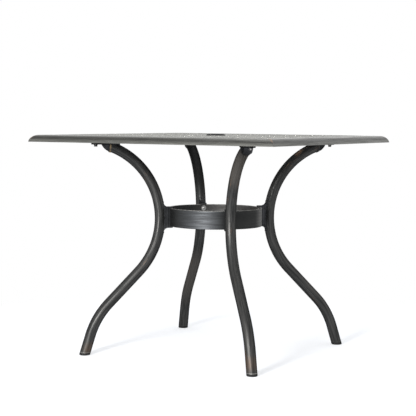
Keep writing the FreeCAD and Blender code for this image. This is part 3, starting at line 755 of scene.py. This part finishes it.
def brushed_material(name, vector_of, dark, light, metallic, edge_tint, copper, fineness, relief,
                     rougher, tone_of, wear_of=None):
    """Powder coat brushed along the piece, with copper showing through in places."""
    finish = bpy.context.scene.coat_finish
    material, shader, surface = new_material(name, metallic, edge_tint)
    vector = vector_of(surface)
    brushed = use_group(brushed_streaks, surface, vector=vector, fineness=fineness)
    rub = use_group(copper_rub, surface, vector=vector, fineness=fineness * 0.6, amount=copper)
    colour = tone_of(surface, blend_colour(brushed["Streaks"], dark, light), finish)
    colour = blend_colour(rub["Mask"], colour, finish.copper)
    if wear_of:
        colour = blend_colour(wear_of(surface), colour, finish.bare)
    plug(shader["Base Color"], colour)
    rough = finish.rough + rougher
    plug(shader["Roughness"], ramp(brushed["Tone"], 0.0, 1.0, rough + 0.07, rough - 0.05))
    add_relief(shader, brushed["Relief"], relief)
    return material


def cast_material(name, dark, light, metallic, edge_tint, grain, smoother=0.0, wear_of=None):
    """Sand-cast aluminium under the same coat."""
    finish = bpy.context.scene.coat_finish
    material, shader, surface = new_material(name, metallic, edge_tint)
    cast = use_group(sand_cast, surface, grain=grain)
    rub = use_group(copper_rub, surface, vector=surface["Position"], fineness=160.0, amount=0.3)
    colour = blend_colour(cast["Mottle"], dark, light)
    colour = blend_colour(rub["Mask"], colour, finish.copper)
    if wear_of:
        colour = blend_colour(wear_of(surface), colour, finish.brass)
    plug(shader["Base Color"], colour)
    rough = finish.rough - smoother
    plug(shader["Roughness"], ramp(cast["Mottle"], 0.0, 1.0, rough + 0.12, rough))
    add_relief(shader, cast["Relief"], 0.5)
    return material


def zinc_material(name, colour):
    """Zinc plate with faint handling marks."""
    material, shader, surface = new_material(name, 1.0, 1.0)
    cast = use_group(sand_cast, surface, grain=1500.0)
    plug(shader["Base Color"], blend_colour(cast["Mottle"], colour, shade(colour, 0.6)))
    plug(shader["Roughness"], ramp(cast["Relief"], 0.3, 0.7, 0.3, 0.48))
    return material


# The finishes

def leg_coat(name, finish):
    """Coat of the bent tubes, with the most copper."""
    return brushed_material(
        name, tube_vector, finish.coat, finish.brushed, metallic=0.85, edge_tint=0.1, copper=0.42,
        fineness=560.0, relief=0.03, rougher=0.05, tone_of=tube_tone, wear_of=tube_wear)


def ring_coat(name, finish):
    """Cooler coat of the ring, with coarse streaks round it."""
    return brushed_material(
        name, band_vector, shade(finish.band, 0.4), finish.band, metallic=0.85, edge_tint=0.8,
        copper=0.1, fineness=520.0, relief=0.08, rougher=0.12, tone_of=band_tone, wear_of=band_wear)


def rim_coat(name, finish):
    """The rim's smoother coat, rubbed through along the mitres."""
    return brushed_material(
        name, rim_vector, shade(finish.rim, 0.5), finish.rim, metallic=0.8, edge_tint=1.0,
        copper=0.15, fineness=620.0, relief=0.15, rougher=-0.14, tone_of=rim_tone)


def lattice_coat(name, finish):
    """Coat of the cast panel, in the rim's colour."""
    return cast_material(
        name, shade(finish.rim, 0.92), shade(finish.rim, 1.38), 0.8, 1.0, 700.0, smoother=0.18)


def cast_coat(name, finish):
    """Dark coat of the saddles, the gussets and the beads, golden on the cuffs."""
    return cast_material(
        name, finish.cast, shade(finish.cast, 1.9), 0.85, 0.1, 800.0, wear_of=cuff_wear)


def plate_coat(name, finish):
    """Darker copy of the cast coat on the plates under the top, as painted shade."""
    return cast_material(
        name, shade(finish.cast, 0.35), shade(finish.cast, 0.6), 0.85, 0.1, 800.0)


def moulded_black(name, finish):
    """Moulded plastic with a fine even texture."""
    material, shader, surface = new_material(name, 0.0, 1.0, 0.15)
    cast = use_group(sand_cast, surface, grain=2600.0)
    worn = shade(finish.moulded, 1.8)
    plug(shader["Base Color"], blend_colour(cast["Mottle"], finish.moulded, worn))
    plug(shader["Roughness"], ramp(cast["Mottle"], 0.0, 1.0, 0.8, 0.68))
    add_relief(shader, cast["Relief"], 0.4, RELIEF / 2)
    return material


def dark_zinc(name, finish):
    """Darker copy of the zinc plating, as painted shade on the top's screws under the top."""
    return zinc_material(name, finish.dark_zinc)


def bright_zinc(name, finish):
    """Bright plating."""
    return zinc_material(name, finish.zinc)


def made_once(build):
    """The material that a finish function builds, made the first time it is asked for."""
    name = build.__name__
    return bpy.data.materials.get(name) or build(name, bpy.context.scene.coat_finish)


def finish_nodes(build, *starts):
    """Gives a finish to every shown CAD node whose name starts in one of these ways."""
    material = made_once(build)
    for name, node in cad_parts.items():
        if name.startswith(starts):
            node.data.materials.clear()
            node.data.materials.append(material)


# The cast panel

def lattice_lines(sizes, half):
    """Where the slanting bars run: their distances from the centre, as x + y or x - y."""
    step = 2 * half / sizes.count
    return [(m + 0.5 - sizes.count) * step for m in range(2 * sizes.count)]


def add_lattice_bars(bm, sizes, half, z0):
    """Bars both ways across the field, cut short at the hub."""
    section = crowned_section(sizes.bar_width, sizes.bar_depth, sizes.crown)
    overlap = sizes.bar_width / 2
    inside = sizes.hub_radius - overlap
    for line in lattice_lines(sizes, half):
        reach = (2 * half - abs(line)) / math.sqrt(2) + overlap / 2
        away = abs(line) / math.sqrt(2)
        spans = [(-reach, reach)]
        if away < inside:
            chord = math.sqrt(inside**2 - away**2)
            spans = [(-reach, -chord), (chord, reach)]
        for way in (1, -1):
            middle = Vector((line / 2, way * line / 2, z0))
            along = Vector((1, -way, 0)).normalized()
            for one, two in spans:
                add_bar(bm, middle + along * one, middle + along * two, section)


def add_lattice_bosses(bm, sizes, half):
    """A low boss where two bars cross, clear of the border and the hub."""
    lines = lattice_lines(sizes, half)
    margin = sizes.boss_radius
    for one in lines:
        for two in lines:
            place = Vector(((one + two) / 2, (one - two) / 2, TABLE_TOP))
            in_field = max(abs(place.x), abs(place.y)) <= half - margin
            if in_field and place.xy.length >= sizes.hub_radius + margin:
                add_dome(bm, place, sizes.boss_radius, sizes.boss_rise, sizes.crown)


def rib_section(inner, width, root, edge, lean=0.0004, chamfer=0.0006):
    """Outline of a cast rib, a little narrower towards its edge."""
    outer = inner + width
    return [(inner, root), (inner + lean, edge + chamfer), (inner + lean + chamfer, edge),
            (outer - lean - chamfer, edge), (outer - lean, edge + chamfer), (outer, root)]


def add_border(bm, sizes, half, z0):
    """The plain border with its raised line, and the rib under it."""
    z = TABLE_TOP
    outer = PANEL_HIGH.x
    inner_edge = [(half, z0), (half, z - 0.002), (half + 0.0007, z - 0.0007), (half + 0.002, z)]
    line = [(half + away, z + rise) for away, rise in LINE_SECTION]
    outer_edge = [(outer - 0.001, z), (outer, z - 0.0008), (outer, z0)]
    add_square_frame(bm, inner_edge + line + outer_edge)
    add_square_frame(bm, rib_section(half, sizes.rib_width, z0, z0 - sizes.rib_depth))


def add_corner_webs(bm, sizes, half, z0, overlap=0.001, below=0.0006):
    """Flat webs that fill the corners of the field, a little below the table top."""
    leg = half / sizes.count - sizes.bar_width / math.sqrt(2)
    tip = half + overlap
    for degrees in SIDES:
        rings = []
        for z in (z0, TABLE_TOP - below):
            corners = [(tip, tip, z), (half - leg, tip, z), (tip, half - leg, z)]
            rings.append([bm.verts.new(turned(corner, degrees)) for corner in corners])
        bridge(bm, rings)


def rounded_ring(inner, outer, low, high, edge):
    """Outline of a flat ring with rounded upper edges."""
    near = 0.3 * edge
    return [
        (inner, low), (inner, high - edge), (inner + near, high - near), (inner + edge, high),
        (outer - edge, high), (outer - near, high - near), (outer, high - edge), (outer, low)]


def add_hub(bm, sizes, z0):
    """Two rings round the umbrella hole and the bars between their slots."""
    add_lathe(bm, rounded_ring(sizes.hub_hole, sizes.slot_inner, z0, TABLE_TOP, HUB_EDGE), ROUND)
    add_lathe(bm, rounded_ring(sizes.slot_outer, sizes.hub_radius, z0, TABLE_TOP, HUB_EDGE), WIDE_ROUND)
    add_collar(bm, sizes, z0)
    middle = (sizes.slot_inner + sizes.slot_outer) / 2
    width = middle * math.pi / sizes.slot_count / 2
    section = crowned_section(width, sizes.bar_depth - SPOKE_DROP, sizes.crown * SPOKE_CROWN)
    for k in range(sizes.slot_count):
        degrees = 360.0 * (k + 0.5) / sizes.slot_count
        start = turned((sizes.slot_inner - SLOT_OVERLAP, 0, z0), degrees)
        end = turned((sizes.slot_outer + SLOT_OVERLAP, 0, z0), degrees)
        add_bar(bm, start, end, section)


def add_collar(bm, sizes, z0, chamfer=0.0006, edge=0.001, fillet=0.002):
    """The collar under the hub, which the grommet's sleeve runs through."""
    inner, outer = sizes.hub_hole, sizes.hub_hole + COLLAR_WALL
    add_lathe(bm, [
        (inner, z0), (inner, COLLAR_LOW + chamfer), (inner + chamfer, COLLAR_LOW),
        (outer - edge, COLLAR_LOW), (outer, COLLAR_LOW + edge),
        (outer, z0 - fillet), (outer + fillet, z0)], ROUND)


def boss_section(foot, seat):
    """Outline of a screw boss, wider at its foot and sunk in its plate: (radius, height) points."""
    side = [(radius, foot + rise) for radius, rise in BOSS_FOOT]
    return [(BOSS_CORE, side[0][1]), *side, (side[-1][0], seat), (BOSS_CORE, seat)]


def add_pads(bm, sizes, half, z0):
    """The leg pads with their webs and screw bosses, and the ribs that lead to them."""
    z_pad = PANEL_LOW.z
    z_web = z_pad + sizes.pad_plate
    root = z_web - ROOT
    z_rib = z0 - sizes.rib_depth
    seat = z0 + SEAT
    wide = sizes.pad_width / 2
    thin = sizes.rib_width / 2
    start, end = sizes.pad_inner + WEB_INSET, sizes.pad_outer - WEB_INSET
    for degrees in LEGS.values():
        add_block(bm, (sizes.pad_inner, -wide, z_pad), (sizes.pad_outer, wide, z_web), degrees, PAD_EDGE)
        for side in (-1, 1):
            near, far = sorted((side * (wide - WEB_INSET - WEB), side * (wide - WEB_INSET)))
            add_block(bm, (start, near, root), (end, far, seat), degrees, WEB_EDGE)
        add_lathe(bm, boss_section(z_web, seat), 28, turned((sizes.screw_place, 0, 0), degrees))
        add_block(bm, (sizes.hub_hole, -thin, z_rib), (start, thin, seat), degrees, RIB_EDGE)
        add_block(bm, (end, -thin, z_rib), (half * math.sqrt(2), thin, seat), degrees, RIB_EDGE)
    for degrees in SIDES:
        add_block(bm, (sizes.hub_hole, -thin, z_rib), (half, thin, seat), degrees, RIB_EDGE)


class PATIO_OT_cast_lattice(bpy.types.Operator):
    """Make the cast lattice panel with its hub, ribs and leg pads"""

    bl_idname = "patio.cast_lattice"
    bl_label = "Cast Lattice"

    def execute(self, context):
        sizes = context.scene.lattice_sizes
        half = PANEL_HIGH.x - sizes.border
        z0 = TABLE_TOP - sizes.bar_depth
        bm = bmesh.new()
        add_lattice_bars(bm, sizes, half, z0)
        add_lattice_bosses(bm, sizes, half)
        add_border(bm, sizes, half, z0)
        add_corner_webs(bm, sizes, half, z0)
        add_hub(bm, sizes, z0)
        add_pads(bm, sizes, half, z0)
        panel = new_piece("cast_lattice", bm, made_once(lattice_coat), "lattice", sharp=40.0)
        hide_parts("top_panel")
        return {"FINISHED"}


# Welds on the legs

def tube_reach(legs, t, z):
    """Table centre to the tube's skin on the inside of the table, at a sideways offset and a height."""
    skin = legs.bend_radius + math.sqrt(max(legs.tube_radius**2 - t**2, 0.0))
    centre = legs.waist_radius + legs.bend_radius
    return centre - math.sqrt(skin**2 - (z - waist_height(legs)) ** 2)


def even_path(points, step):
    """The same path with points at an even distance."""
    path = [points[0]]
    for goal in points[1:]:
        while (goal - path[-1]).length > step:
            path.append(path[-1] + (goal - path[-1]).normalized() * step)
    return path


def plate_weld(legs, steps=16):
    """Path along the plate's edges and round the tube's nose, under the top plate."""
    z = PLATE_UNDER - PLATE_OFFSET
    half = legs.plate_half
    points = [Vector((legs.top_radius - BEAD_START, -half, z))]
    for k in range(-steps, steps + 1):
        t = half * math.sin(math.pi / 2 * k / steps)
        points.append(Vector((tube_reach(legs, t, z), t, z)))
    return points + [Vector((legs.top_radius - BEAD_START, half, z))]


def saddle_weld(legs, tall_steps=24, wide_steps=12):
    """Path round the saddle, where it meets the tube."""
    half = legs.saddle_half + SADDLE_OFFSET
    low, high = RING_MIDDLE - legs.saddle_reach, RING_MIDDLE + legs.saddle_reach
    corners = [(half, low), (half, high), (-half, high), (-half, low), (half, low)]
    points = []
    for (t0, z0), (t1, z1), steps in zip(corners, corners[1:], (tall_steps, wide_steps) * 2):
        for k in range(steps):
            t, z = t0 + (t1 - t0) * k / steps, z0 + (z1 - z0) * k / steps
            points.append(Vector((tube_reach(legs, t, z), t, z)))
    return points


def add_weld(bm, legs, points, outward, degrees, radius, closed=False):
    """A bead along points of the first leg's plane, turned to its leg."""
    path = even_path(points + points[:1] if closed else points, legs.bead_pitch / BEAD_POINTS)
    if closed:
        path = path[:-1]
    path = [turned(place, degrees) for place in path]
    add_bead(bm, path, turned(outward, degrees), radius, legs.bead_pitch, closed)


class PATIO_OT_weld_beads(bpy.types.Operator):
    """Make the weld beads at each leg's plate and saddle"""

    bl_idname = "patio.weld_beads"
    bl_label = "Weld Beads"

    def execute(self, context):
        legs = context.scene.leg_sizes
        for leg, degrees in LEGS.items():
            bm = bmesh.new()
            add_weld(bm, legs, plate_weld(legs), PLATE_BEAD_WAY, degrees, legs.bead_radius)
            add_weld(bm, legs, saddle_weld(legs), SADDLE_BEAD_WAY, degrees,
                     legs.bead_radius * THIN_BEAD, closed=True)
            new_piece("weld_beads_" + leg, bm, made_once(cast_coat), "bracket", sharp=60.0)
        return {"FINISHED"}


# Finishes of the CAD nodes

class PATIO_OT_brushed_coat(bpy.types.Operator):
    """Give the tubes, the ring and the rim their brushed powder coat"""

    bl_idname = "patio.brushed_coat"
    bl_label = "Brushed Coat"

    def execute(self, context):
        finish_nodes(leg_coat, "leg_tube_")
        finish_nodes(ring_coat, "stretcher_ring")
        finish_nodes(rim_coat, "rim_rail_")
        return {"FINISHED"}


class PATIO_OT_cast_coat(bpy.types.Operator):
    """Give the saddles and gussets their cast finish, and the top plates a darker copy of it as painted
    shade
    """

    bl_idname = "patio.cast_coat"
    bl_label = "Cast Coat"

    def execute(self, context):
        finish_nodes(cast_coat, "ring_saddle_", "end_gusset_")
        finish_nodes(plate_coat, "leg_plate_")
        return {"FINISHED"}


class PATIO_OT_small_parts(bpy.types.Operator):
    """Give the grommet, the glides and the bolts their finishes, and the top's screws a darker zinc as
    painted shade
    """

    bl_idname = "patio.small_parts"
    bl_label = "Small Parts"

    def execute(self, context):
        finish_nodes(moulded_black, "umbrella_grommet", "foot_glide_")
        finish_nodes(dark_zinc, "top_screws", "top_washers")
        finish_nodes(bright_zinc, "ring_bolts", "ring_washers")
        return {"FINISHED"}


# The stage

def seen_rays(tree):
    """1 for rays from the camera, and in reflections and through glass."""
    path = fields(tree.nodes.new("ShaderNodeLightPath"))
    seen = calc("MAXIMUM", path["Is Camera Ray"], path["Is Glossy Ray"])
    return calc("MAXIMUM", seen, path["Is Transmission Ray"])


def floor_material(studio):
    """White floor: even for the camera and in reflections, with a share that takes shadows."""
    material = bpy.data.materials.new("studio_floor")
    material.use_nodes = True
    tree = material.node_tree
    tree.nodes.clear()
    place = fields(tree.nodes.new("ShaderNodeNewGeometry"))["Position"]
    near = ramp(vector_calc("LENGTH", place, output="Value"), SHADOW_NEAR, SHADOW_FAR, 1.0, 0.0)
    camera = fields(tree.nodes.new("ShaderNodeLightPath"))["Is Camera Ray"]
    lift = near * camera * studio.lift
    plain = add_node("ShaderNodeBsdfDiffuse", {"Color": FLOOR_COLOUR}, tree=tree)
    white = add_node("ShaderNodeEmission", {"Color": WHITE, "Strength": lift + 1.0})
    shown = add_node("ShaderNodeMixShader", {0: near * studio.shadow, 1: white, 2: plain})
    mixed = add_node("ShaderNodeMixShader", {0: seen_rays(tree), 1: plain, 2: shown})
    plug(tree.nodes.new("ShaderNodeOutputMaterial").inputs["Surface"], mixed)
    return material


def add_floor(studio):
    """The wide floor, which is no part of the table."""
    bm = bmesh.new()
    bmesh.ops.create_grid(bm, x_segments=1, y_segments=1, size=FLOOR_HALF)
    mesh_object("studio_floor", bm, floor_material(studio))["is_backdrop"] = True


def room_light(studio):
    """White all round for the camera and in reflections, and a softer even light on the table."""
    world = bpy.data.worlds.new("studio_room")
    bpy.context.scene.world = world
    world.use_nodes = True
    tree = world.node_tree
    tree.nodes.clear()
    soft = add_node("ShaderNodeBackground", {"Color": ROOM_COLOUR, "Strength": studio.room}, tree=tree)
    white = add_node("ShaderNodeBackground", {"Color": WHITE, "Strength": 1.0}, tree=tree)
    mixed = add_node("ShaderNodeMixShader", {0: seen_rays(tree), 1: soft, 2: white})
    plug(tree.nodes.new("ShaderNodeOutputWorld").inputs["Surface"], mixed)


def add_lamp(name, power, place, target, width, height, colour):
    """A rectangular softbox turned to a target."""
    light = bpy.data.lights.new(name, "AREA")
    light.shape = "RECTANGLE"
    light.size = width
    light.size_y = height
    light.energy = power
    light.color = colour
    lamp = new_object(name, light)
    lamp.location = place
    lamp.rotation_mode = "QUATERNION"
    lamp.rotation_quaternion = (Vector(target) - Vector(place)).to_track_quat("-Z", "Y")


def add_camera(studio):
    """The camera at the photograph's place."""
    data = bpy.data.cameras.new("photo_camera")
    data.sensor_width = SENSOR
    data.lens = SENSOR * studio.focal / PHOTO_WIDTH
    camera = new_object("photo_camera", data)
    place = Vector((0, -studio.distance, TABLE_TOP + studio.over_top))
    camera.matrix_world = (
        Matrix.Rotation(studio.azimuth, 4, "Z") @ Matrix.Translation(place)
        @ Matrix.Rotation(studio.yaw, 4, "Z") @ Matrix.Rotation(math.pi / 2 + studio.pitch, 4, "X")
        @ Matrix.Rotation(studio.roll, 4, "Z"))
    bpy.context.scene.camera = camera


class PATIO_OT_stage(bpy.types.Operator):
    """Make the white floor, the lights and the camera"""

    bl_idname = "patio.stage"
    bl_label = "Stage"

    def execute(self, context):
        studio = context.scene.studio
        add_floor(studio)
        room_light(studio)
        for name, power, *shape in LAMPS:
            add_lamp(name, getattr(studio, power), *shape)
        add_camera(studio)
        context.scene.view_settings.view_transform = "Standard"
        return {"FINISHED"}


class PATIO_PT_table(bpy.types.Panel):
    """The table's steps and sizes"""

    bl_idname = "PATIO_PT_table"
    bl_label = "Patio Table"
    bl_space_type = "VIEW_3D"
    bl_region_type = "UI"
    bl_category = "Patio Table"

    def draw(self, context):
        layout = self.layout
        for step in STEPS:
            layout.operator(step.bl_idname)
        for group_name, kind in SETTINGS.items():
            box = layout.box()
            box.label(text=kind.__name__)
            sizes = getattr(context.scene, group_name)
            for name in kind.__annotations__:
                box.prop(sizes, name)


STEPS = (
    PATIO_OT_cast_lattice,
    PATIO_OT_weld_beads,
    PATIO_OT_brushed_coat,
    PATIO_OT_cast_coat,
    PATIO_OT_small_parts,
    PATIO_OT_stage,
)
SETTINGS = {
    "lattice_sizes": LatticeSizes,
    "leg_sizes": LegSizes,
    "coat_finish": CoatFinish,
    "studio": Studio,
}


def register():
    for kind in (*SETTINGS.values(), *STEPS, PATIO_PT_table):
        bpy.utils.register_class(kind)
    for name, kind in SETTINGS.items():
        setattr(bpy.types.Scene, name, bpy.props.PointerProperty(type=kind))


def unregister():
    for name in SETTINGS:
        delattr(bpy.types.Scene, name)
    for kind in reversed((*SETTINGS.values(), *STEPS, PATIO_PT_table)):
        bpy.utils.unregister_class(kind)


def main():
    register()
    bpy.ops.patio.cast_lattice()
    bpy.ops.patio.weld_beads()
    bpy.ops.patio.brushed_coat()
    bpy.ops.patio.cast_coat()
    bpy.ops.patio.small_parts()
    bpy.ops.patio.stage()
    boxes = {"cad": CAD_BOX, "visual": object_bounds()}


if __name__ == "__main__":
    main()
